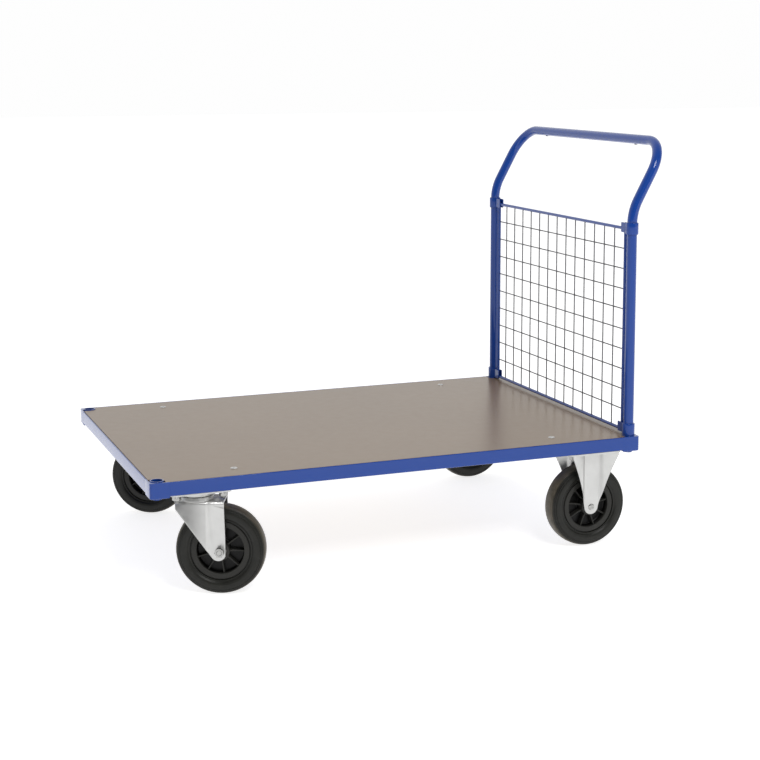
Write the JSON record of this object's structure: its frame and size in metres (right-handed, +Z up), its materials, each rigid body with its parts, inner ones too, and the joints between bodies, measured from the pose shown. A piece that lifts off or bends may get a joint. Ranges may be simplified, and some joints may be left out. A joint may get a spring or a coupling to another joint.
{
  "type": "flatbed platform truck",
  "caption": "Flat platform in a steel edge frame with corner sockets, on swivel and fixed casters, with a bent push handle and a mesh end panel.",
  "frame": {"origin": "on the floor under the centre of the deck", "axes": "+X towards the push handle, +Y to the right of a person at the handle who faces the deck, +Z up"},
  "size_m": [1.281, 0.8207, 0.988],
  "materials": {
    "blue_paint": "semi-gloss blue powder coat",
    "deck_laminate": "grey-beige melamine-faced board, semi-matt",
    "fastener_zinc": "bright zinc plating",
    "zinc_plate": "bright zinc plated pressed steel",
    "galvanised_wire": "dull galvanised wire",
    "bearing_steel": "oiled bearing steel",
    "wheel_plastic": "black moulded polypropylene",
    "dark_plastic": "dark plastic plug",
    "tyre_rubber": "solid black rubber with a brownish tread edge"
  },
  "bodies": {
    "chassis": {"side_rail_left": "blue_paint", "side_rail_right": "blue_paint", "end_rail_front": "blue_paint", "end_rail_rear": "blue_paint", "corner_socket_front_left": "blue_paint", "corner_socket_front_right": "blue_paint", "corner_socket_rear_left": "blue_paint", "corner_socket_rear_right": "blue_paint", "inner_cross_member_front": "blue_paint", "inner_cross_member_rear": "blue_paint", "outer_cross_member_front": "blue_paint", "outer_cross_member_rear": "blue_paint", "push_handle": "blue_paint", "mesh_side_rods": "blue_paint", "mesh_bottom_rail": "blue_paint", "mesh_top_rail": "blue_paint", "lower_mesh_brackets": "blue_paint", "upper_mesh_brackets": "blue_paint", "deck_board": "deck_laminate", "deck_screws": "fastener_zinc", "handle_plugs": "dark_plastic", "mesh_upright_wires": "galvanised_wire", "mesh_cross_wires": "galvanised_wire", "swivel_caster_bolts_left": "fastener_zinc", "fixed_caster_bolts_left": "fastener_zinc", "swivel_plate_left": "zinc_plate", "kingpin_left": "fastener_zinc", "fixed_bracket_left": "zinc_plate", "fixed_axle_left": "fastener_zinc", "fixed_axle_spacer_left": "bearing_steel", "swivel_caster_bolts_right": "fastener_zinc", "fixed_caster_bolts_right": "fastener_zinc", "swivel_plate_right": "zinc_plate", "kingpin_right": "fastener_zinc", "fixed_bracket_right": "zinc_plate", "fixed_axle_right": "fastener_zinc", "fixed_axle_spacer_right": "bearing_steel"},
    "swivel_left": {"swivel_fork_left": "zinc_plate", "swivel_balls_left": "bearing_steel", "swivel_axle_left": "fastener_zinc", "swivel_axle_spacer_left": "bearing_steel"},
    "swivel_wheel_left": {"swivel_rim_left": "wheel_plastic", "swivel_tyre_left": "tyre_rubber", "swivel_wheel_bearing_left": "bearing_steel"},
    "fixed_wheel_left": {"fixed_rim_left": "wheel_plastic", "fixed_tyre_left": "tyre_rubber", "fixed_wheel_bearing_left": "bearing_steel"},
    "swivel_right": {"swivel_fork_right": "zinc_plate", "swivel_balls_right": "bearing_steel", "swivel_axle_right": "fastener_zinc", "swivel_axle_spacer_right": "bearing_steel"},
    "swivel_wheel_right": {"swivel_rim_right": "wheel_plastic", "swivel_tyre_right": "tyre_rubber", "swivel_wheel_bearing_right": "bearing_steel"},
    "fixed_wheel_right": {"fixed_rim_right": "wheel_plastic", "fixed_tyre_right": "tyre_rubber", "fixed_wheel_bearing_right": "bearing_steel"}
  },
  "joints": [
    {"name": "swivel_turn_left", "type": "hinge", "parent": "chassis", "child": "swivel_left", "pos_m": [-0.484, -0.341, 0.2], "axis": [0, 0, 1], "continuous": true},
    {"name": "swivel_wheel_spin_left", "type": "hinge", "parent": "swivel_left", "child": "swivel_wheel_left", "pos_m": [-0.43337, -0.36249, 0.1], "axis": [0.3907, 0.9205, 0], "continuous": true},
    {"name": "fixed_wheel_spin_left", "type": "hinge", "parent": "chassis", "child": "fixed_wheel_left", "pos_m": [0.484, -0.341, 0.1], "axis": [0, 1, 0], "continuous": true},
    {"name": "swivel_turn_right", "type": "hinge", "parent": "chassis", "child": "swivel_right", "pos_m": [-0.484, 0.341, 0.2], "axis": [0, 0, 1], "continuous": true},
    {"name": "swivel_wheel_spin_right", "type": "hinge", "parent": "swivel_right", "child": "swivel_wheel_right", "pos_m": [-0.43637, 0.3135, 0.1], "axis": [0.5, 0.866, 0], "continuous": true},
    {"name": "fixed_wheel_spin_right", "type": "hinge", "parent": "chassis", "child": "fixed_wheel_right", "pos_m": [0.484, 0.341, 0.1], "axis": [0, 1, 0], "continuous": true}
  ]
}
